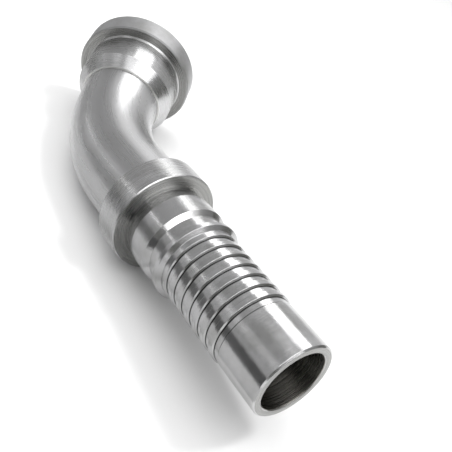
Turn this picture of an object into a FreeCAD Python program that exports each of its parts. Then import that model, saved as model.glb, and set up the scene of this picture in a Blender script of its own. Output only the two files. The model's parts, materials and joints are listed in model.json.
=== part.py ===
import FreeCAD, Part
import math
import os

import Sketcher

# Hose end with a 45 degree elbow: a flanged head, a bent tube and a turned hose stem.
# The bent tube is seated in a turned socket at each end, and the three are brazed into one
# rigid fitting. It lies on the back rim of its flange, on the rim of its collar and on the
# outer side of its bend, with its nose in the air.
# Lengths are in millimetres. Every turned piece is drawn along X with its radius along Y.

Vector = FreeCAD.Vector

SIZES = {
    # flanged head, a 1 inch head of the heavy flange series, measured from its sealing face
    "flange_dia": 47.63,
    "flange_thick": 9.53,
    "flange_front_chamfer": 0.95,
    "flange_back_chamfer": 0.5,
    "neck_dia": 39.0,
    "neck_length": 12.26,
    "neck_corner": 0.6,
    "band_length": 4.6,
    "band_lip": 0.6,
    "seal_groove_dia": 39.7,
    "seal_groove_inner_dia": 32.3,
    "seal_groove_depth": 2.8,
    "mouth_dia": 25.3,
    "mouth_depth": 3.6,
    "head_bore": 20.4,
    "tube_end_depth": 12.0,
    # bent tube, measured along its centre line
    "tube_dia": 31.0,
    "tube_bore": 19.4,
    "collar_to_bend": 17.2,
    "bend_radius": 60.5,
    "bend_angle": 45.0,
    "bend_to_flange": 17.6,
    # collar of the hose stem
    "collar_dia": 37.4,
    "collar_length": 11.1,
    "collar_tube_chamfer": 0.8,
    "collar_tail_chamfer": 0.35,
    "collar_socket_depth": 9.0,
    # tail of the hose stem, distances from the collar's tail side face
    "tail_length": 69.6,
    "lock_root_dia": 27.0,
    "lock_cone_length": 5.1,
    "lock_land_dia": 29.6,
    "lock_land_end": 12.85,
    "lock_flank": 1.5,
    "rib_start": 19.3,
    "rib_width": 1.5,
    "rib_flank": 1.0,
    "barb_dia": 26.6,
    "barb_start": 23.8,
    "barb_pitch": 4.4,
    "barb_count": 7,
    "barb_groove_width": 2.7,
    "barb_groove_depth": 0.65,
    "barb_flank": 0.4,
    "nose_dia": 25.74,
    "nose_chamfer": 0.5,
    "stem_bore": 20.6,
    "bore_chamfer": 0.3,
    # how far the barb cutter starts outside the stock
    "cutter_margin": 0.5,
}

os.makedirs("parts", exist_ok=True)
doc = FreeCAD.newDocument("flange_fitting")
sheet = doc.addObject("Spreadsheet::Sheet", "sizes")
for row, (name, size) in enumerate(SIZES.items(), 1):
    sheet.set(f"A{row}", name)
    sheet.set(f"B{row}", str(size))
    sheet.setAlias(f"B{row}", name)
doc.recompute()


def value(expression):
    """Number that a formula of the named sizes gives."""
    found = sheet.evalExpression(expression)
    return float(getattr(found, "Value", found))


def plane(body, role):
    """Origin plane of a body, found by its role."""
    for feature in body.Origin.OriginFeatures:
        if feature.Role == role:
            return feature
    raise ValueError(role)


def new_sketch(body, name, role="XY_Plane"):
    sketch = body.newObject("Sketcher::SketchObject", name)
    sketch.AttachmentSupport = [(plane(body, role), "")]
    sketch.MapMode = "FlatFace"
    return sketch


def hold(sketch, constraint, formula=None):
    """Adds a constraint and binds it to a formula of the named sizes."""
    index = sketch.addConstraint(constraint)
    if formula:
        sketch.setExpression(f"Constraints[{index}]", formula)


def outline(body, name, corners):
    """Closed outline through corners given as (distance along the axis, radius) formulas."""
    sketch = new_sketch(body, name)
    spots = [Vector(value(along), value(radius), 0) for along, radius in corners]
    count = len(spots)
    for i in range(count):
        sketch.addGeometry(Part.LineSegment(spots[i], spots[(i + 1) % count]), False)
    for i in range(count):
        hold(sketch, Sketcher.Constraint("Coincident", i, 2, (i + 1) % count, 1))
    for i, (along, radius) in enumerate(corners):
        if along == "0":
            hold(sketch, Sketcher.Constraint("PointOnObject", i, 1, -2))
        else:
            hold(sketch, Sketcher.Constraint("DistanceX", -1, 1, i, 1, spots[i].x), along)
        hold(sketch, Sketcher.Constraint("DistanceY", -1, 1, i, 1, spots[i].y), radius)
    return sketch


def turned(body, kind, name, sketch):
    """Full turn of an outline about the axis, added as a Revolution or taken away as a Groove."""
    feature = body.newObject(f"PartDesign::{kind}", name)
    feature.Profile = sketch
    feature.ReferenceAxis = (sketch, ["H_Axis"])
    feature.Angle = 360
    sketch.Visibility = False
    doc.recompute()
    return feature


def rim_edge(feature, along, radius):
    """Name of the round edge at a distance along the axis and a radius."""
    for number, edge in enumerate(feature.Shape.Edges, 1):
        if not isinstance(edge.Curve, Part.Circle):
            continue
        if abs(edge.Curve.Center.x - along) < 1e-4 and abs(edge.Curve.Radius - radius) < 1e-4:
            return f"Edge{number}"
    raise ValueError(f"no round edge at {along}, {radius}")


def broken_edge(body, name, base, along, radius, size):
    """Chamfer of one round edge or inner corner, its size bound to a named size."""
    feature = body.newObject("PartDesign::Chamfer", name)
    feature.Base = (base, [rim_edge(base, value(along), value(radius))])
    feature.setExpression("Size", size)
    doc.recompute()
    return feature


def new_body(name):
    body = doc.addObject("PartDesign::Body", name)
    body.Label = name
    return body


# Flanged head: sealing face at X = 0, neck and cone towards +X, socket for the tube at the back.
head = new_body("flange_head")
flange_back = "sizes.flange_thick"
neck_end = "sizes.flange_thick + sizes.neck_length"
head_end = neck_end + " + sizes.band_length"
head_blank = turned(head, "Revolution", "head_blank", outline(head, "head_profile", [
    ("0", "sizes.mouth_dia / 2"),
    ("0", "sizes.flange_dia / 2"),
    (flange_back, "sizes.flange_dia / 2"),
    (flange_back, "sizes.neck_dia / 2"),
    (neck_end, "sizes.neck_dia / 2"),
    (head_end, "sizes.tube_dia / 2 + sizes.band_lip"),
    (head_end, "sizes.tube_dia / 2"),
    ("sizes.tube_end_depth", "sizes.tube_dia / 2"),
    ("sizes.tube_end_depth", "sizes.head_bore / 2"),
    ("sizes.mouth_depth", "sizes.head_bore / 2"),
]))
seal_groove = turned(head, "Groove", "seal_groove", outline(head, "seal_groove_profile", [
    ("0", "sizes.seal_groove_inner_dia / 2"),
    ("sizes.seal_groove_depth", "sizes.seal_groove_inner_dia / 2"),
    ("sizes.seal_groove_depth", "sizes.seal_groove_dia / 2"),
    ("0", "sizes.seal_groove_dia / 2"),
]))
front_chamfer = broken_edge(head, "front_chamfer", seal_groove,
                            "0", "sizes.flange_dia / 2", "sizes.flange_front_chamfer")
back_chamfer = broken_edge(head, "back_chamfer", front_chamfer,
                           flange_back, "sizes.flange_dia / 2", "sizes.flange_back_chamfer")
neck_corner = broken_edge(head, "neck_corner", back_chamfer,
                          flange_back, "sizes.neck_dia / 2", "sizes.neck_corner")
head.Tip = neck_corner

# Bent tube: starts on the floor of the collar's socket, runs along +X and bends towards +Y.
# Each end reaches the floor of its socket, so its straight legs are the visible ones and
# what is seated.
tube = new_body("elbow_tube")
first_leg = "(sizes.collar_socket_depth + sizes.collar_to_bend)"
last_leg = f"(sizes.bend_to_flange + {flange_back} - sizes.tube_end_depth)"
route = new_sketch(tube, "tube_route")
bend = math.radians(value("sizes.bend_angle"))
bend_radius = value("sizes.bend_radius")
bend_start = Vector(value(first_leg), 0, 0)
bend_centre = bend_start + Vector(0, bend_radius, 0)
bend_end = bend_centre + Vector(math.sin(bend), -math.cos(bend), 0) * bend_radius
tube_end = bend_end + Vector(math.cos(bend), math.sin(bend), 0) * value(last_leg)
route.addGeometry(Part.LineSegment(Vector(0, 0, 0), bend_start), False)
route.addGeometry(Part.ArcOfCircle(Part.Circle(bend_centre, Vector(0, 0, 1), bend_radius),
                                   -math.pi / 2, -math.pi / 2 + bend), False)
route.addGeometry(Part.LineSegment(bend_end, tube_end), False)
hold(route, Sketcher.Constraint("Coincident", 0, 1, -1, 1))
hold(route, Sketcher.Constraint("Horizontal", 0))
hold(route, Sketcher.Constraint("Tangent", 0, 2, 1, 1))
hold(route, Sketcher.Constraint("Tangent", 1, 2, 2, 1))
hold(route, Sketcher.Constraint("Distance", 0, value(first_leg)), first_leg)
hold(route, Sketcher.Constraint("Distance", 2, value(last_leg)), last_leg)
hold(route, Sketcher.Constraint("Radius", 1, bend_radius), "sizes.bend_radius")
hold(route, Sketcher.Constraint("Angle", -1, 1, 2, 1, bend), "sizes.bend_angle * 1 deg")
doc.recompute()
for kind, size in (("Additive", "tube_dia"), ("Subtractive", "tube_bore")):
    section = new_sketch(tube, f"{size}_section", "YZ_Plane")
    radius = value(f"sizes.{size} / 2")
    section.addGeometry(Part.Circle(Vector(0, 0, 0), Vector(0, 0, 1), radius), False)
    hold(section, Sketcher.Constraint("Coincident", 0, 3, -1, 1))
    hold(section, Sketcher.Constraint("Radius", 0, radius), f"sizes.{size} / 2")
    pipe = tube.newObject(f"PartDesign::{kind}Pipe", f"{size}_sweep")
    pipe.Profile = section
    pipe.Spine = (route, ["Edge1", "Edge2", "Edge3"])
    section.Visibility = False
    doc.recompute()
route.Visibility = False
tube.Tip = pipe

# Hose stem: collar from X = 0 with the tube's socket in it, then the tail. The tail has an
# undercut cone and a locking land behind the collar, a locking rib, seven saw-tooth grooves
# whose steep walls face the collar, and a plain nose.
stem = new_body("hose_stem")


def on_tail(distance):
    """Distance along the stem of a spot given from the collar's tail side face."""
    return f"sizes.collar_length + {distance}"


lock_root = "sizes.lock_root_dia / 2"
lock_land = "sizes.lock_land_dia / 2"
barb_crest = "sizes.barb_dia / 2"
last_groove = "sizes.barb_start + (sizes.barb_count - 1) * sizes.barb_pitch"
nose_start = on_tail(last_groove + " + sizes.barb_groove_width / 2")
rib_end = "sizes.rib_start + sizes.rib_width"
stem_blank = turned(stem, "Revolution", "stem_blank", outline(stem, "stem_profile", [
    ("0", "sizes.tube_dia / 2"),
    ("0", "sizes.collar_dia / 2 - sizes.collar_tube_chamfer"),
    ("sizes.collar_tube_chamfer", "sizes.collar_dia / 2"),
    ("sizes.collar_length - sizes.collar_tail_chamfer", "sizes.collar_dia / 2"),
    ("sizes.collar_length", "sizes.collar_dia / 2 - sizes.collar_tail_chamfer"),
    ("sizes.collar_length", lock_root),
    (on_tail("sizes.lock_cone_length"), lock_land),
    (on_tail("sizes.lock_land_end"), lock_land),
    (on_tail("sizes.lock_land_end + sizes.lock_flank"), barb_crest),
    (on_tail("sizes.rib_start"), barb_crest),
    (on_tail("sizes.rib_start"), lock_land),
    (on_tail(rib_end), lock_land),
    (on_tail(rib_end + " + sizes.rib_flank"), barb_crest),
    (nose_start, barb_crest),
    (nose_start, "sizes.nose_dia / 2"),
    (on_tail("sizes.tail_length - sizes.nose_chamfer"), "sizes.nose_dia / 2"),
    (on_tail("sizes.tail_length"), "sizes.nose_dia / 2 - sizes.nose_chamfer"),
    (on_tail("sizes.tail_length"), "sizes.stem_bore / 2 + sizes.bore_chamfer"),
    (on_tail("sizes.tail_length - sizes.bore_chamfer"), "sizes.stem_bore / 2"),
    ("sizes.collar_socket_depth", "sizes.stem_bore / 2"),
    ("sizes.collar_socket_depth", "sizes.tube_dia / 2"),
]))
groove_floor = barb_crest + " - sizes.barb_groove_depth"
cutter_top = barb_crest + " + sizes.cutter_margin"
cutter_back = "sizes.cutter_margin * sizes.barb_flank / sizes.barb_groove_depth"
barb_sketch = outline(stem, "barb_profile", [
    (on_tail(f"sizes.barb_start - {cutter_back}"), cutter_top),
    (on_tail("sizes.barb_start + sizes.barb_flank"), groove_floor),
    (on_tail("sizes.barb_start + sizes.barb_groove_width"), groove_floor),
    (on_tail("sizes.barb_start + sizes.barb_groove_width"), cutter_top),
])
barb_groove = turned(stem, "Groove", "barb_groove", barb_sketch)
barb_row = stem.newObject("PartDesign::LinearPattern", "barb_row")
barb_row.Originals = [barb_groove]
barb_row.Direction = (barb_sketch, ["H_Axis"])
barb_row.setExpression("Length", "(sizes.barb_count - 1) * sizes.barb_pitch")
barb_row.setExpression("Occurrences", "sizes.barb_count")
stem.Tip = barb_row
doc.recompute()

# The pieces are joined along the stem's axis: X runs to the nose from the collar's tail side
# face, and the elbow bends towards +Y.
socket_floor = value("sizes.collar_socket_depth - sizes.collar_length")
collar_back = -value("sizes.collar_length")
head_way = Vector(-math.cos(bend), math.sin(bend), 0)
flip = FreeCAD.Rotation(Vector(0, 1, 0), 180)
tube_place = FreeCAD.Placement(Vector(socket_floor, 0, 0), flip)
flange_centre = tube_place.multVec(bend_end) + head_way * value("sizes.bend_to_flange")
face_centre = flange_centre + head_way * value(flange_back)
head_place = FreeCAD.Placement(face_centre, FreeCAD.Rotation(Vector(0, 0, 1), -math.degrees(bend)))
stem_place = FreeCAD.Placement(Vector(collar_back, 0, 0), FreeCAD.Rotation())

# Rims that can touch the floor, each a centre, an axis and a radius.
AXIS = Vector(1, 0, 0)
flange_rims = [
    (face_centre - head_way * value("sizes.flange_front_chamfer"), head_way,
     value("sizes.flange_dia / 2")),
    (flange_centre + head_way * value("sizes.flange_back_chamfer"), head_way,
     value("sizes.flange_dia / 2")),
]
collar_rims = [
    (AXIS * -value("sizes.collar_tail_chamfer"), AXIS, value("sizes.collar_dia / 2")),
    (AXIS * (collar_back + value("sizes.collar_tube_chamfer")), AXIS,
     value("sizes.collar_dia / 2")),
]
bend_middle = tube_place.multVec(bend_centre)


def lowest(up, rims):
    """Height of the lowest point of some rims along a direction."""
    return min(up.dot(centre) - radius * math.sqrt(max(0.0, 1 - up.dot(axis) ** 2))
               for centre, axis, radius in rims)


def lowest_bend(up):
    """Height of the lowest point of the bend's outer side, where the tube runs level."""
    return up.dot(bend_middle) - bend_radius * math.hypot(up.x, up.y) - value("sizes.tube_dia / 2")


def upward(lean_x, lean_y):
    return Vector(lean_x, lean_y, math.sqrt(1 - lean_x ** 2 - lean_y ** 2))


def mismatch(lean_x, lean_y):
    """Height differences between the three supports when the fitting leans by this much."""
    up = upward(lean_x, lean_y)
    collar = lowest(up, collar_rims)
    return lowest(up, flange_rims) - collar, lowest_bend(up) - collar


# The centre of mass lies outside the line from flange to collar, so the fitting rolls over
# from its nose until its bend touches the floor. The resting lean makes the three supports
# level, found by Newton's method from a lean to that side.
lean_x, lean_y = 0.1, 0.4
STEP = 1e-6
for turn in range(30):
    first, second = mismatch(lean_x, lean_y)
    first_x, second_x = mismatch(lean_x + STEP, lean_y)
    first_y, second_y = mismatch(lean_x, lean_y + STEP)
    a, b = (first_x - first) / STEP, (first_y - first) / STEP
    c, d = (second_x - second) / STEP, (second_y - second) / STEP
    det = a * d - b * c
    lean_x -= (d * first - b * second) / det
    lean_y -= (a * second - c * first) / det
up = upward(lean_x, lean_y)
ahead = (AXIS - up * AXIS.dot(up)).normalize()
lying = FreeCAD.Placement(Vector(0, 0, 0), FreeCAD.Rotation(ahead, up.cross(ahead), up, "ZXY"))

PLACES = {"flange_head": head_place, "elbow_tube": tube_place, "hose_stem": stem_place}
BODIES = {"flange_head": head, "elbow_tube": tube, "hose_stem": stem}


def set_down(shift):
    for name, body in BODIES.items():
        body.Placement = FreeCAD.Placement(shift, FreeCAD.Rotation()) * lying.inverse() * PLACES[name]
    doc.recompute()


# The origin is the middle of the bounding box's bottom.
set_down(Vector(0, 0, 0))
whole = Part.makeCompound([body.Shape for body in BODIES.values()]).optimalBoundingBox(False)
set_down(Vector(-(whole.XMin + whole.XMax) / 2, -(whole.YMin + whole.YMax) / 2, -whole.ZMin))

for item in doc.Objects:
    if "Invalid" in item.State or "Error" in item.State:
        raise RuntimeError(f"{item.Name} has state {item.State}")
for name, body in BODIES.items():
    if body.Shape.isNull() or not body.Shape.isValid() or len(body.Shape.Solids) != 1:
        raise RuntimeError(f"{name} has no single valid solid")
    body.Shape.exportStep(f"parts/{name}.step")
    box = body.Shape.optimalBoundingBox(False)
    print(name, "volume", round(body.Shape.Volume, 1), "x", round(box.XMin, 2), round(box.XMax, 2),
          "y", round(box.YMin, 2), round(box.YMax, 2), "z", round(box.ZMin, 2), round(box.ZMax, 2))
    start, way = body.Placement.Base, body.Placement.Rotation.multVec(AXIS)
    print("    starts at", [round(q, 4) for q in start], "and runs along", [round(q, 6) for q in way])
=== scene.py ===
import json
import math

import bpy
from bpy.props import FloatProperty, FloatVectorProperty, PointerProperty
from mathutils import Matrix, Vector
from mathutils.geometry import intersect_line_line

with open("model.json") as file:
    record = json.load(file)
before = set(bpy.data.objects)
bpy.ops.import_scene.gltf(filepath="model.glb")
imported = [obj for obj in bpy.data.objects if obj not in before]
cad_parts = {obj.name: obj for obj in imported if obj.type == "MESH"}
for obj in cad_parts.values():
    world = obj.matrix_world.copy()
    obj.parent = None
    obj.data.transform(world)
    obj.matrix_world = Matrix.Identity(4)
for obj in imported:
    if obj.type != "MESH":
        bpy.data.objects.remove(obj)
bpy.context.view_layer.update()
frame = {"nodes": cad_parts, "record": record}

bl_info = {
    "name": "Flanged hose fitting",
    "version": (1, 0, 0),
    "blender": (4, 5, 0),
    "location": "View3D > Sidebar > Fitting",
    "description": "Finishes the steel of a 45 degree flanged hose fitting and sets its studio",
    "category": "Object",
}

MM = 0.001


def mount(name):
    """Place, direction and radius of one of the record's round mounts."""
    found = next(item for item in frame["record"]["mounts"] if item["name"] == name)
    return Vector(found["pos_m"]), Vector(found["axis"]).normalized(), found["dims"]["r_mm"] * MM


# Axes of the two turned pieces, from the frame: the head's runs from its sealing face to the
# tube, the stem's from the collar to the nose. Their bores come from the frame too.
HEAD_SPOT, head_out, HEAD_BORE = mount("head_bore")
HEAD_WAY = -head_out
STEM_SPOT, STEM_WAY = mount("hose_nose")[:2]
STEM_BORE = mount("stem_bore")[2]

# The bend lies between them: its angle, the side it turns to, and the middle of its arc.
BEND_RADIUS = 60.5 * MM
TUBE_RADIUS = 15.5 * MM
BEND_ANGLE = HEAD_WAY.angle(STEM_WAY)
BEND_SIDE = (STEM_WAY * STEM_WAY.dot(HEAD_WAY) - HEAD_WAY).normalized()
BEND_UP = STEM_WAY.cross(BEND_SIDE)
axes_meet = intersect_line_line(STEM_SPOT, STEM_SPOT + STEM_WAY,
                                HEAD_SPOT, HEAD_SPOT + HEAD_WAY)[0]
BEND_CENTRE = (axes_meet + STEM_WAY * BEND_RADIUS * math.tan(BEND_ANGLE / 2)
               + BEND_SIDE * BEND_RADIUS)

# The head ends this far above the tube, in a narrow face that braze covers.
HEAD_END_LIP = 0.6 * MM

# Along the stem from its mount: where its first groove starts, how often they follow, and where
# the floor of each begins and ends. The first starts 23.8 mm from the collar's face, and the
# mount is 61.0 mm from it.
GROOVE_START = (23.8 - 61.0) * MM
GROOVE_PITCH = 4.4 * MM
GROOVE_CORNERS = (0.4 * MM, 2.7 * MM)
GROOVE_FLOOR = 12.65 * MM

# Sizes of the marks in the metal: dapples from handling in bulk, and blotches of oil.
DAPPLE = 2.2 * MM
BLOTCH = 9 * MM
TUBE_BLOTCH = 12 * MM
# Painted shade in a groove's corner is full to the first of these distances and gone at the second.
CORNER_SHADE_REACH = (0.15 * MM, 0.45 * MM)
# A line along the tube is this many times as long as it is wide.
DRAW_LINE_STRETCH = 30

# The camera stands where the photograph was taken from, in metres: its place and its own
# right and forward directions.
CAMERA_PLACE = Vector((133.190, -121.833, 139.308)) * MM
CAMERA_RIGHT = Vector((0.49728, 0.78073, 0.37838)).normalized()
CAMERA_FORWARD = Vector((-0.53428, 0.61919, -0.57546)).normalized()

# Lamps stand 1 m from the origin. Each has its name, its azimuth and elevation, its width and
# height in metres, the setting of its brightness, and the two directions that its width runs
# between where it isn't level. These soft boxes and the strip are seen by the metal alone:
# highlights come from them.
REFLECTED_LAMPS = (
    ("back_box", (135.5, 47), (0.47, 0.335), "back_box", None),
    ("low_box", (152, 25), (0.40, 0.38), "low_box", None),
    ("nose_box", (-12, 47), (1.02, 0.34), "nose_box", ((-50, 38), (30, 54))),
    ("side_glow", (-123, 27), (0.25, 0.35), "side_glow", None),
    ("front_glow", (-96, 38), (0.26, 0.36), "front_glow", None),
    ("strip", (-151, 12.5), (0.84, 0.03), "strip_light", ((-175, 0), (-118, 30))),
)
# These light the floor alone: the key draws the shadow's edge, the fill softens it.
FLOOR_LAMPS = (
    ("key", (58, 67), (0.16, 0.16), "key_light", None),
    ("fill", (-140, 60), (1.0, 1.0), "fill_light", None),
)

# Cards that only the metal shows, in millimetres. The side cards stand on a line that follows
# the stem and turns round behind the bend; their grey foot, a painted shadow, reaches under the
# fitting.
SIDE_LINE = ((150, -84, 0), (-95, -84, 0), (-150, -40, 0), (-156, 15, 0))
SIDE_FOOT = ((150, -34, 1), (-60, -34, 1), (-100, -15, 1), (-115, 15, 1))
SIDE_HEIGHT = 33
# The side cards' brightness runs between these two places along X.
FADE_FROM, FADE_TO = -110, 95
# Three upright cards stand round the nose's end: the azimuths of their edges, how far they
# are from the origin, and their height.
NOSE_TURNS = (-50, -4, 42, 88)
NOSE_REACH, NOSE_HEIGHT = 600, 200
# Half of the floor's side, in millimetres.
FLOOR_HALF = 8000


def linear(hex_colour):
    """Linear RGB of an sRGB hex colour."""
    parts = [int(hex_colour[i:i + 2], 16) / 255 for i in (1, 3, 5)]
    return tuple(c / 12.92 if c <= 0.04045 else ((c + 0.055) / 1.055) ** 2.4 for c in parts)


class FITTING_PG_steel(bpy.types.PropertyGroup):
    """Colours of the fitting's metal."""
    turned_colour: FloatVectorProperty(
        name="Turned steel", description="Colour of the plated turned surfaces",
        default=linear("#CBCBCC"), subtype="COLOR", min=0, max=1)
    tube_colour: FloatVectorProperty(
        name="Tube steel", description="Colour of the plated bent tube",
        default=linear("#C8C8C9"), subtype="COLOR", min=0, max=1)
    oil_colour: FloatVectorProperty(
        name="Oil film", description="Tint that cutting oil leaves in blotches and on faces",
        default=linear("#A8A8A6"), subtype="COLOR", min=0, max=1)
    bore_colour: FloatVectorProperty(
        name="Bore steel", description="Colour of the drilled and unplated bores",
        default=linear("#A3A19B"), subtype="COLOR", min=0, max=1)
    # Painted shade: the dark colour of the thin rings in the corners of the grooves.
    corner_shade_colour: FloatVectorProperty(
        name="Groove shade", description="Colour in the corners of the grooves",
        default=linear("#2C2C2A"), subtype="COLOR", min=0, max=1)
    braze_colour: FloatVectorProperty(
        name="Braze", description="Colour of the braze where the tube enters the head",
        default=linear("#F0F0EE"), subtype="COLOR", min=0, max=1)


class FITTING_PG_marks(bpy.types.PropertyGroup):
    """Sizes of the marks that machining and handling leave."""
    turning_feed: FloatProperty(
        name="Turning feed", description="Distance between the tool marks of turned surfaces",
        default=0.35 * MM, min=0.05 * MM, max=2 * MM, unit="LENGTH", subtype="DISTANCE")
    draw_line: FloatProperty(
        name="Draw line", description="Width of the lines along the drawn tube",
        default=0.9 * MM, min=0.1 * MM, max=4 * MM, unit="LENGTH", subtype="DISTANCE")
    edge_break: FloatProperty(
        name="Edge break", description="Radius that deburring leaves on sharp edges",
        default=0.2 * MM, min=0.02 * MM, max=0.6 * MM, unit="LENGTH", subtype="DISTANCE")


class FITTING_PG_studio(bpy.types.PropertyGroup):
    """Colours and strengths of the studio."""
    floor_colour: FloatVectorProperty(
        name="Floor", description="Colour of the floor",
        default=linear("#EBEBEB"), subtype="COLOR", min=0, max=1)
    room_light: FloatProperty(
        name="Room light", description="Brightness of the room above the floor",
        default=1.0, min=0, max=4)
    back_box: FloatProperty(
        name="Back soft box", description="Brightness of the soft box behind the bend",
        default=2.7, min=0, max=30)
    nose_box: FloatProperty(
        name="Nose soft box", description="Brightness of the soft box beyond the nose",
        default=2.4, min=0, max=30)
    low_box: FloatProperty(
        name="Low soft box", description="Brightness of the weak soft box below the back one",
        default=0.38, min=0, max=30)
    side_glow: FloatProperty(
        name="Side glow", description="Brightness of the weak soft box on the camera's left",
        default=0.25, min=0, max=30)
    front_glow: FloatProperty(
        name="Front glow", description="Brightness of the weak soft box on the camera's side",
        default=0.55, min=0, max=30)
    strip_light: FloatProperty(
        name="Strip", description="Brightness of the thin strip lamp",
        default=1.6, min=0, max=60)
    key_light: FloatProperty(
        name="Key", description="Brightness of the small lamp that casts the shadow",
        default=32.0, min=0, max=400)
    fill_light: FloatProperty(
        name="Fill", description="Brightness of the large lamp that lights the shadow",
        default=1.25, min=0, max=30)
    lens: FloatProperty(
        name="Lens", description="Focal length of the camera on a 36 mm frame, in millimetres",
        default=47.534, min=20, max=200)


def add(tree, kind, settings=None, **inputs):
    """Adds a node. Settings are its own properties; inputs are values or sockets, by the
    socket's name, or by i and its number. In Map Range, i1 and i2 are the range read, i3 and
    i4 the range given; in Mix, 2 and 3 are numbers, 4 and 5 vectors, 6 and 7 colours."""
    node = tree.nodes.new(kind)
    for name, setting in (settings or {}).items():
        setattr(node, name, setting)
    for name, given in inputs.items():
        key = int(name[1:]) if name[1:].isdigit() else name.replace("_", " ")
        socket = node.inputs[key]
        if isinstance(given, bpy.types.NodeSocket):
            tree.links.new(given, socket)
        else:
            socket.default_value = given
    return node


def blank(name):
    """New material with an empty node tree."""
    material = bpy.data.materials.new(name)
    material.use_nodes = True
    material.node_tree.nodes.clear()
    return material, material.node_tree


def round_axis(tree, place, spot, way):
    """Sockets of a turned piece's own coordinates: distance along its axis, radius, the
    direction round it and the angle in radians."""
    side = way.orthogonal().normalized()
    arm = add(tree, "ShaderNodeVectorMath", {"operation": "SUBTRACT"}, i0=place, i1=spot).outputs[0]
    along = add(tree, "ShaderNodeVectorMath", {"operation": "DOT_PRODUCT"},
                i0=arm, i1=way).outputs["Value"]
    lift = add(tree, "ShaderNodeVectorMath", {"operation": "SCALE"}, i0=way, Scale=along).outputs[0]
    out = add(tree, "ShaderNodeVectorMath", {"operation": "SUBTRACT"}, i0=arm, i1=lift).outputs[0]
    radius = add(tree, "ShaderNodeVectorMath", {"operation": "LENGTH"}, i0=out).outputs["Value"]
    across = add(tree, "ShaderNodeVectorMath", {"operation": "CROSS_PRODUCT"},
                 i0=way, i1=out).outputs[0]
    round_way = add(tree, "ShaderNodeVectorMath", {"operation": "NORMALIZE"}, i0=across).outputs[0]
    first = add(tree, "ShaderNodeVectorMath", {"operation": "DOT_PRODUCT"},
                i0=out, i1=side).outputs["Value"]
    second = add(tree, "ShaderNodeVectorMath", {"operation": "DOT_PRODUCT"},
                 i0=out, i1=way.cross(side)).outputs["Value"]
    angle = add(tree, "ShaderNodeMath", {"operation": "ARCTAN2"}, i0=second, i1=first).outputs[0]
    return along, radius, round_way, angle


def groove_corner_shade(tree, along, radius, facing):
    """Socket that is 1 where shade is painted: in the two corners of each groove, as thin dark
    rings."""
    run = add(tree, "ShaderNodeMath", {"operation": "SUBTRACT"},
              i0=along, i1=GROOVE_START).outputs[0]
    step = add(tree, "ShaderNodeMath", {"operation": "FLOORED_MODULO"},
               i0=run, i1=GROOVE_PITCH).outputs[0]
    gaps = []
    for corner in GROOVE_CORNERS:
        gap = add(tree, "ShaderNodeMath", {"operation": "SUBTRACT"}, i0=step, i1=corner).outputs[0]
        gaps.append(add(tree, "ShaderNodeMath", {"operation": "ABSOLUTE"}, i0=gap).outputs[0])
    nearest = add(tree, "ShaderNodeMath", {"operation": "MINIMUM"},
                  i0=gaps[0], i1=gaps[1]).outputs[0]
    ring = add(tree, "ShaderNodeMapRange", Value=nearest, i1=CORNER_SHADE_REACH[0], i2=CORNER_SHADE_REACH[1],
               i3=1.0, i4=0.0).outputs[0]
    low = add(tree, "ShaderNodeMapRange", Value=radius, i1=GROOVE_FLOOR + 0.12 * MM,
              i2=GROOVE_FLOOR + 0.06 * MM, i3=0.0, i4=1.0).outputs[0]
    outer = add(tree, "ShaderNodeMapRange", Value=radius, i1=GROOVE_FLOOR - 0.5 * MM,
                i2=GROOVE_FLOOR - 0.1 * MM, i3=0.0, i4=1.0).outputs[0]
    held = add(tree, "ShaderNodeMath", {"operation": "MULTIPLY"}, i0=low, i1=outer).outputs[0]
    not_face = add(tree, "ShaderNodeMath", {"operation": "SUBTRACT"},
                   i0=held, i1=facing).outputs[0]
    return add(tree, "ShaderNodeMath", {"operation": "MULTIPLY", "use_clamp": True},
               i0=ring, i1=not_face).outputs[0]


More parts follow.
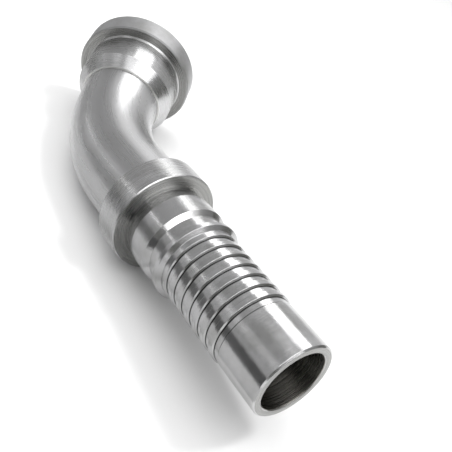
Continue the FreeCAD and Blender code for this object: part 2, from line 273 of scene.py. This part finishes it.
def turned_steel(name, spot, way, steel, marks, bore_radius, polished, satin, drawn_out,
                 seam=None, grooved=False):
    """Zinc plated steel, turned: a bright surface whose fine rings blur reflections along the
    axis and not round it, dull radial streaks on the faces, and a grey drilled bore. Polished
    and satin give its inner and its outer surfaces: their radius and their roughness. Drawn out
    is how much the rings stretch a highlight. Seam is the radius inside which it takes the look
    of braze."""
    material, tree = blank(name)
    place = add(tree, "ShaderNodeTexCoord").outputs["Object"]
    along, radius, round_way, angle = round_axis(tree, place, spot, way)
    normal = add(tree, "ShaderNodeTexCoord").outputs["Normal"]
    tilt = add(tree, "ShaderNodeVectorMath", {"operation": "DOT_PRODUCT"},
               i0=normal, i1=way).outputs["Value"]
    level = add(tree, "ShaderNodeMath", {"operation": "ABSOLUTE"}, i0=tilt).outputs[0]
    facing = add(tree, "ShaderNodeMapRange", Value=level, i1=0.9, i2=0.98, i3=0.0,
                 i4=1.0).outputs[0]
    inside = add(tree, "ShaderNodeMapRange", Value=radius, i1=bore_radius + 0.25 * MM,
                 i2=bore_radius + 0.05 * MM, i3=0.0, i4=1.0).outputs[0]
    # Rings follow the tool: they repeat along the axis on cylinders and outwards on faces,
    # and drift a little round the piece. Real feed marks are about 0.1 mm apart and are drawn
    # coarser, so that they show.
    drift = add(tree, "ShaderNodeMath", {"operation": "MULTIPLY"},
                i0=angle, i1=0.12 * MM).outputs[0]
    rings = add(tree, "ShaderNodeCombineXYZ", X=along, Y=radius, Z=drift).outputs[0]
    feed = add(tree, "ShaderNodeTexNoise", Vector=rings, Scale=1 / marks.turning_feed,
               Detail=3.0, Roughness=0.6).outputs["Fac"]
    dapples = add(tree, "ShaderNodeTexNoise", Vector=place, Scale=1 / DAPPLE, Detail=5.0,
                  Roughness=0.68).outputs["Fac"]
    blotches = add(tree, "ShaderNodeTexNoise", Vector=place, Scale=1 / BLOTCH, Detail=4.0,
                   Roughness=0.6).outputs["Fac"]
    edge = add(tree, "ShaderNodeBevel", {"samples": 6}, Radius=marks.edge_break).outputs[0]
    if seam:
        # A thin ring of braze fills the step down to the tube, pale, dull and hollow. The other
        # surfaces inside its radius, at the sealing face and in the bore, look the same.
        hollow = add(tree, "ShaderNodeBevel", {"samples": 6},
                     Radius=4 * marks.edge_break).outputs[0]
        brazed = add(tree, "ShaderNodeMapRange", Value=radius, i1=seam + 0.25 * MM, i2=seam,
                     i3=0.0, i4=1.0).outputs[0]
        edge = add(tree, "ShaderNodeMix", {"data_type": "VECTOR"},
                   i0=brazed, i4=edge, i5=hollow).outputs[1]
    dull = add(tree, "ShaderNodeMath", {"operation": "MAXIMUM"}, i0=facing, i1=inside).outputs[0]
    ring_bump = add(tree, "ShaderNodeBump", Strength=0.15, Distance=0.03 * MM, Height=feed,
                    Normal=edge).outputs[0]
    # Faces and bores are cut less finely: wider rings that the eye can make out.
    cuts = add(tree, "ShaderNodeTexNoise", Vector=rings, Scale=1 / (3.5 * marks.turning_feed),
               Detail=4.0, Roughness=0.75).outputs["Fac"]
    cut_depth = add(tree, "ShaderNodeMath", {"operation": "MULTIPLY"}, i0=dull, i1=0.9).outputs[0]
    cut_bump = add(tree, "ShaderNodeBump", Strength=cut_depth, Distance=0.12 * MM, Height=cuts,
                   Normal=ring_bump).outputs[0]
    # Outer surfaces took more knocks than inner ones.
    dents = add(tree, "ShaderNodeMapRange", Value=radius, i1=polished[0], i2=satin[0], i3=0.4,
                i4=0.8).outputs[0]
    bump = add(tree, "ShaderNodeBump", Strength=dents, Distance=0.1 * MM, Height=dapples,
               Normal=cut_bump).outputs[0]
    # Colour: plating under a film of oil, darker between the cuts of faces and bores.
    oily = add(tree, "ShaderNodeMapRange", Value=blotches, i1=0.4, i2=0.75, i3=0.0,
               i4=0.8).outputs[0]
    film = add(tree, "ShaderNodeMath", {"operation": "MAXIMUM"}, i0=oily, i1=facing).outputs[0]
    tint = add(tree, "ShaderNodeMix", {"data_type": "RGBA"}, i0=film,
               i6=(*steel.turned_colour, 1), i7=(*steel.oil_colour, 1)).outputs[2]
    bare = add(tree, "ShaderNodeMix", {"data_type": "RGBA"}, i0=inside, i6=tint,
               i7=(*steel.bore_colour, 1)).outputs[2]
    stain = add(tree, "ShaderNodeMapRange", Value=cuts, i1=0.35, i2=0.65, i3=0.68,
                i4=1.0).outputs[0]
    stained = add(tree, "ShaderNodeMix", {"data_type": "FLOAT"}, i0=dull, i2=1.0,
                  i3=stain).outputs[0]
    metal = add(tree, "ShaderNodeVectorMath", {"operation": "SCALE"},
                i0=bare, Scale=stained).outputs[0]
    # Painted shade: thin dark rings in the corners of the grooves.
    if grooved:
        metal = add(tree, "ShaderNodeMix", {"data_type": "RGBA"},
                    i0=groove_corner_shade(tree, along, radius, facing), i6=metal,
                    i7=(*steel.corner_shade_colour, 1)).outputs[2]
    smooth = add(tree, "ShaderNodeMapRange", Value=radius, i1=polished[0], i2=satin[0],
                 i3=polished[1], i4=satin[1]).outputs[0]
    rough = add(tree, "ShaderNodeMix", {"data_type": "FLOAT"}, i0=dull, i2=smooth,
                i3=0.27).outputs[0]
    if seam:
        metal = add(tree, "ShaderNodeMix", {"data_type": "RGBA"}, i0=brazed, i6=metal,
                    i7=(*steel.braze_colour, 1)).outputs[2]
        rough = add(tree, "ShaderNodeMix", {"data_type": "FLOAT"}, i0=brazed, i2=rough,
                    i3=0.5).outputs[0]
    worn = add(tree, "ShaderNodeMapRange", Value=feed, i1=0.25, i2=0.75, i3=0.8,
               i4=1.25).outputs[0]
    rough_rings = add(tree, "ShaderNodeMath", {"operation": "MULTIPLY"},
                      i0=rough, i1=worn).outputs[0]
    shader = add(tree, "ShaderNodeBsdfPrincipled", Base_Color=metal, Metallic=1.0,
                 Roughness=rough_rings, Anisotropic=drawn_out, Anisotropic_Rotation=0.25,
                 Normal=bump, Tangent=round_way)
    add(tree, "ShaderNodeOutputMaterial", Surface=shader.outputs[0])
    return material


def drawn_steel(name, steel, marks):
    """Zinc plated drawn tube, bent: a satin sheen that faint lines along the tube spread round
    it, so that highlights break into long streaks."""
    material, tree = blank(name)
    place = add(tree, "ShaderNodeTexCoord").outputs["Object"]
    arm = add(tree, "ShaderNodeVectorMath", {"operation": "SUBTRACT"},
              i0=place, i1=BEND_CENTRE).outputs[0]
    # Angle round the bend's centre, held between the two straight legs.
    back, down, height = [
        add(tree, "ShaderNodeVectorMath", {"operation": "DOT_PRODUCT"},
            i0=arm, i1=axis).outputs["Value"]
        for axis in (-STEM_WAY, -BEND_SIDE, BEND_UP)]
    turn = add(tree, "ShaderNodeMath", {"operation": "ARCTAN2"}, i0=back, i1=down).outputs[0]
    held = add(tree, "ShaderNodeClamp", Value=turn, Min=0.0, Max=BEND_ANGLE).outputs[0]
    cosine = add(tree, "ShaderNodeMath", {"operation": "COSINE"}, i0=held).outputs[0]
    sine = add(tree, "ShaderNodeMath", {"operation": "SINE"}, i0=held).outputs[0]
    # Distance out from the bend's centre, square to the tube's own line.
    out_back = add(tree, "ShaderNodeMath", {"operation": "MULTIPLY"}, i0=back, i1=sine).outputs[0]
    out = add(tree, "ShaderNodeMath", {"operation": "MULTIPLY_ADD"},
              i0=down, i1=cosine, i2=out_back).outputs[0]
    outward = add(tree, "ShaderNodeMath", {"operation": "SUBTRACT"},
                  i0=out, i1=BEND_RADIUS).outputs[0]
    round_angle = add(tree, "ShaderNodeMath", {"operation": "ARCTAN2"},
                      i0=height, i1=outward).outputs[0]
    arc = add(tree, "ShaderNodeMath", {"operation": "MULTIPLY"},
              i0=round_angle, i1=TUBE_RADIUS).outputs[0]
    slow = add(tree, "ShaderNodeMath", {"operation": "MULTIPLY"},
               i0=turn, i1=BEND_RADIUS / DRAW_LINE_STRETCH).outputs[0]
    lines = add(tree, "ShaderNodeCombineXYZ", X=arc, Y=slow, Z=0.0).outputs[0]
    draw = add(tree, "ShaderNodeTexNoise", Vector=lines, Scale=1 / marks.draw_line, Detail=4.0,
               Roughness=0.65).outputs["Fac"]
    blotches = add(tree, "ShaderNodeTexNoise", Vector=place, Scale=1 / TUBE_BLOTCH, Detail=4.0,
                   Roughness=0.6).outputs["Fac"]
    # Direction of the tube at each place.
    way_back = add(tree, "ShaderNodeVectorMath", {"operation": "SCALE"},
                   i0=-STEM_WAY, Scale=cosine).outputs[0]
    way_side = add(tree, "ShaderNodeVectorMath", {"operation": "SCALE"},
                   i0=BEND_SIDE, Scale=sine).outputs[0]
    way = add(tree, "ShaderNodeVectorMath", {"operation": "ADD"},
              i0=way_back, i1=way_side).outputs[0]
    edge = add(tree, "ShaderNodeBevel", {"samples": 4}, Radius=marks.edge_break).outputs[0]
    bump = add(tree, "ShaderNodeBump", Strength=0.35, Distance=0.08 * MM, Height=draw,
               Normal=edge).outputs[0]
    film = add(tree, "ShaderNodeMapRange", Value=blotches, i1=0.4, i2=0.8, i3=0.0,
               i4=0.3).outputs[0]
    tint = add(tree, "ShaderNodeMix", {"data_type": "RGBA"}, i0=film,
               i6=(*steel.tube_colour, 1), i7=(*steel.oil_colour, 1)).outputs[2]
    rough = add(tree, "ShaderNodeMapRange", Value=draw, i1=0.25, i2=0.75, i3=0.24,
                i4=0.34).outputs[0]
    shader = add(tree, "ShaderNodeBsdfPrincipled", Base_Color=tint, Metallic=1.0,
                 Roughness=rough, Anisotropic=0.5, Anisotropic_Rotation=0.25, Normal=bump,
                 Tangent=way)
    add(tree, "ShaderNodeOutputMaterial", Surface=shader.outputs[0])
    return material


def dress(node, material):
    """Gives every slot of a frame node one material."""
    for slot in frame["nodes"][node].material_slots:
        slot.link = "OBJECT"
        slot.material = material


class FITTING_OT_flange_head(bpy.types.Operator):
    """Finishes the turned flange head"""
    bl_idname = "fitting.flange_head"
    bl_label = "Flange head"

    def execute(self, context):
        steel, marks = context.scene.fitting_steel, context.scene.fitting_marks
        # The neck is bright, the rim of the flange dull.
        dress("flange_head", turned_steel(
            "turned_plated_steel", HEAD_SPOT, HEAD_WAY, steel, marks, bore_radius=HEAD_BORE,
            polished=(19.6 * MM, 0.26), satin=(23.6 * MM, 0.75), drawn_out=0.88,
            seam=TUBE_RADIUS + HEAD_END_LIP))
        return {"FINISHED"}


class FITTING_OT_elbow_tube(bpy.types.Operator):
    """Finishes the bent tube"""
    bl_idname = "fitting.elbow_tube"
    bl_label = "Elbow tube"

    def execute(self, context):
        steel, marks = context.scene.fitting_steel, context.scene.fitting_marks
        dress("elbow_tube", drawn_steel("drawn_plated_steel", steel, marks))
        return {"FINISHED"}


class FITTING_OT_hose_stem(bpy.types.Operator):
    """Finishes the turned hose stem"""
    bl_idname = "fitting.hose_stem"
    bl_label = "Hose stem"

    def execute(self, context):
        steel, marks = context.scene.fitting_steel, context.scene.fitting_marks
        # The tail is the brightest surface, the collar a little duller.
        dress("hose_stem", turned_steel(
            "fine_turned_steel", STEM_SPOT, STEM_WAY, steel, marks, bore_radius=STEM_BORE,
            polished=(13.3 * MM, 0.19), satin=(18.0 * MM, 0.25), drawn_out=0.82, grooved=True))
        return {"FINISHED"}


def toward(azimuth, elevation):
    """Unit vector to a spot of the studio, azimuth from +X to +Y and elevation from the floor."""
    azimuth, elevation = math.radians(azimuth), math.radians(elevation)
    return Vector((math.cos(azimuth) * math.cos(elevation),
                   math.sin(azimuth) * math.cos(elevation), math.sin(elevation)))


class FITTING_OT_studio(bpy.types.Operator):
    """Sets the floor, the light and the camera"""
    bl_idname = "fitting.studio"
    bl_label = "Studio"

    def execute(self, context):
        studio = context.scene.fitting_studio
        self.floor(context, studio)
        self.room(context, studio)
        for row in REFLECTED_LAMPS:
            self.lamp(context, studio, *row).visible_diffuse = False
        for row in FLOOR_LAMPS:
            self.lamp(context, studio, *row).visible_glossy = False
        self.cards(context)
        self.camera(context, studio)
        return {"FINISHED"}

    def sheet(self, context, name, corners, material):
        """Flat four-cornered piece of the studio."""
        mesh = bpy.data.meshes.new(name)
        mesh.from_pydata(corners, [], [(0, 1, 2, 3)])
        mesh.materials.append(material)
        piece = bpy.data.objects.new(name, mesh)
        context.scene.collection.objects.link(piece)
        return piece

    def matt(self, name, colour, roughness=1.0):
        """Plain material of one linear colour."""
        material, tree = blank(name)
        shader = add(tree, "ShaderNodeBsdfPrincipled", Base_Color=(*colour, 1),
                     Roughness=roughness)
        add(tree, "ShaderNodeOutputMaterial", Surface=shader.outputs[0])
        return material

    def floor(self, context, studio):
        """Plain pale floor."""
        half = FLOOR_HALF * MM
        self.sheet(context, "floor",
                   [(-half, -half, 0), (half, -half, 0), (half, half, 0), (-half, half, 0)],
                   self.matt("pale_paper", studio.floor_colour, roughness=0.9))

    def cards(self, context):
        """Cards seen only in the metal: a dark one beside the stem that fades towards the bend,
        its grey foot on the floor as a painted shadow, and a low dark one round the nose's end."""
        faded, tree = blank("faded_card")
        place = add(tree, "ShaderNodeTexCoord").outputs["Object"]
        run = add(tree, "ShaderNodeSeparateXYZ", Vector=place).outputs["X"]
        part = add(tree, "ShaderNodeMapRange", Value=run, i1=FADE_FROM * MM,
                   i2=FADE_TO * MM).outputs[0]
        fade = self.ramp(tree, part, ((0.0, 0.4), (0.35, 0.26), (0.75, 0.11), (1.0, 0.08)))
        shader = add(tree, "ShaderNodeBsdfPrincipled", Base_Color=fade, Roughness=1.0)
        add(tree, "ShaderNodeOutputMaterial", Surface=shader.outputs[0])
        # Painted shadow: a grey sheet on the floor, seen only in the metal, darkens the floor under
        # the fitting.
        grey = self.matt("painted_shadow_card", (0.5, 0.5, 0.5))
        dark = self.matt("black_card", (0.15, 0.15, 0.14))
        line = [Vector(spot) * MM for spot in SIDE_LINE]
        foot = [Vector(spot) * MM for spot in SIDE_FOOT]
        rise, lift = Vector((0, 0, SIDE_HEIGHT * MM)), Vector((0, 0, MM))
        cards = []
        corners = zip(line, line[1:], foot, foot[1:])
        for number, (first, second, near, far) in enumerate(corners, 1):
            cards.append(self.sheet(context, f"side_flag_{number}",
                                    [first, second, second + rise, first + rise], faded))
            cards.append(self.sheet(context, f"shadow_foot_flag_{number}",
                                    [first + lift, second + lift, far, near], grey))
        ends = [toward(turn, 0) * NOSE_REACH * MM for turn in NOSE_TURNS]
        rise = Vector((0, 0, NOSE_HEIGHT * MM))
        for number, (first, second) in enumerate(zip(ends, ends[1:]), 1):
            cards.append(self.sheet(context, f"nose_flag_{number}",
                                    [first, second, second + rise, first + rise], dark))
        for card in cards:
            card.visible_camera = card.visible_diffuse = card.visible_shadow = False

    def room(self, context, studio):
        """Light from all round: the room's dim side, and the white wall behind the fitting."""
        world = bpy.data.worlds.new("room")
        context.scene.world = world
        world.use_nodes = True
        tree = world.node_tree
        tree.nodes.clear()
        way = add(tree, "ShaderNodeTexCoord").outputs["Generated"]
        parts = add(tree, "ShaderNodeSeparateXYZ", Vector=way).outputs
        azimuth = add(tree, "ShaderNodeMath", {"operation": "ARCTAN2"},
                      i0=parts["Y"], i1=parts["X"]).outputs[0]
        turn = add(tree, "ShaderNodeMapRange", Value=azimuth, i1=-math.pi, i2=math.pi).outputs[0]
        # Brightness from the floor up, in three directions: the room behind the elbow, the space
        # beyond the nose, and the white wall on the far side.
        room = self.ramp(tree, parts["Z"], (
            (0.0, 0.48), (0.2, 0.46), (0.45, 0.33), (0.62, 0.42), (0.86, 0.4), (0.93, 1.8)))
        nose = self.ramp(tree, parts["Z"], (
            (0.0, 0.4), (0.35, 0.32), (0.6, 0.38), (0.70, 0.6), (0.78, 1.8)))
        wall = self.ramp(tree, parts["Z"], (
            (0.0, 0.75), (0.25, 0.7), (0.5, 0.66), (0.66, 0.75), (0.87, 0.5), (0.94, 1.8)))
        # Where round the room, as a part of a full turn, the second and the third take over.
        at_nose = self.ramp(tree, turn, (
            (0.0, 0), (0.265, 0), (0.295, 1), (0.735, 1), (0.757, 0)))
        at_wall = self.ramp(tree, turn, (
            (0.0, 0), (0.735, 0), (0.757, 1), (0.945, 1), (0.97, 0)))
        beyond = add(tree, "ShaderNodeMix", {"data_type": "FLOAT"}, i0=at_nose, i2=room,
                     i3=nose).outputs[0]
        mixed = add(tree, "ShaderNodeMix", {"data_type": "FLOAT"}, i0=at_wall, i2=beyond,
                    i3=wall).outputs[0]
        strength = add(tree, "ShaderNodeMath", {"operation": "MULTIPLY"}, i0=mixed,
                       i1=studio.room_light).outputs[0]
        glow = add(tree, "ShaderNodeBackground", Color=(1, 1, 1, 1), Strength=strength)
        add(tree, "ShaderNodeOutputWorld", Surface=glow.outputs[0])

    def ramp(self, tree, value, stops):
        """Brightness that runs through (place, brightness) stops."""
        node = add(tree, "ShaderNodeValToRGB", Fac=value)
        while len(node.color_ramp.elements) < len(stops):
            node.color_ramp.elements.new(1.0)
        for element, (place, level) in zip(node.color_ramp.elements, stops):
            element.position = place
            element.color = (level, level, level, 1)
        return node.outputs["Color"]

    def lamp(self, context, studio, name, direction, size, setting, width_ends):
        """Area lamp that faces the fitting, level or with its width between two directions."""
        lamp = bpy.data.lights.new(name, "AREA")
        lamp.shape = "RECTANGLE"
        lamp.size, lamp.size_y = size
        # An area lamp's radiance is a quarter of its power over its area.
        lamp.energy = 4 * getattr(studio, setting) * size[0] * size[1]
        holder = bpy.data.objects.new(name, lamp)
        back = toward(*direction)
        if width_ends:
            along = toward(*width_ends[1]) - toward(*width_ends[0])
        else:
            along = Vector((0, 0, 1)).cross(back)
        across = (along - back * along.dot(back)).normalized()
        holder.matrix_world = Matrix.Translation(back) @ Matrix(
            (across, back.cross(across), back)).transposed().to_4x4()
        context.scene.collection.objects.link(holder)
        return holder

    def camera(self, context, studio):
        """Camera at the photograph's place and angle."""
        lens = bpy.data.cameras.new("camera")
        lens.sensor_width = 36.0
        lens.sensor_fit = "HORIZONTAL"
        lens.lens = studio.lens
        lens.clip_start = 0.01
        camera = bpy.data.objects.new("camera", lens)
        up = CAMERA_RIGHT.cross(CAMERA_FORWARD).normalized()
        right = CAMERA_FORWARD.cross(up)
        turn = Matrix((right, up, -CAMERA_FORWARD)).transposed().to_4x4()
        camera.matrix_world = Matrix.Translation(CAMERA_PLACE) @ turn
        context.scene.collection.objects.link(camera)
        context.scene.camera = camera
        context.scene.view_settings.view_transform = "Standard"


class FITTING_PT_fitting(bpy.types.Panel):
    """Lists the fitting's pieces and settings"""
    bl_label = "Flanged hose fitting"
    bl_space_type = "VIEW_3D"
    bl_region_type = "UI"
    bl_category = "Fitting"

    def draw(self, context):
        for group in (context.scene.fitting_steel, context.scene.fitting_marks,
                      context.scene.fitting_studio):
            box = self.layout.box()
            for name in group.__annotations__:
                box.prop(group, name)
        for operator in OPERATORS:
            self.layout.operator(operator.bl_idname)


GROUPS = {
    "fitting_steel": FITTING_PG_steel,
    "fitting_marks": FITTING_PG_marks,
    "fitting_studio": FITTING_PG_studio,
}
OPERATORS = (FITTING_OT_flange_head, FITTING_OT_elbow_tube, FITTING_OT_hose_stem,
             FITTING_OT_studio)


def register():
    for kind in (*GROUPS.values(), *OPERATORS, FITTING_PT_fitting):
        bpy.utils.register_class(kind)
    for name, kind in GROUPS.items():
        setattr(bpy.types.Scene, name, PointerProperty(type=kind))


def unregister():
    for name in GROUPS:
        delattr(bpy.types.Scene, name)
    for kind in (FITTING_PT_fitting, *reversed(OPERATORS), *GROUPS.values()):
        bpy.utils.unregister_class(kind)


def main():
    register()
    bpy.ops.fitting.flange_head()
    bpy.ops.fitting.elbow_tube()
    bpy.ops.fitting.hose_stem()
    bpy.ops.fitting.studio()


if __name__ == "__main__":
    main()
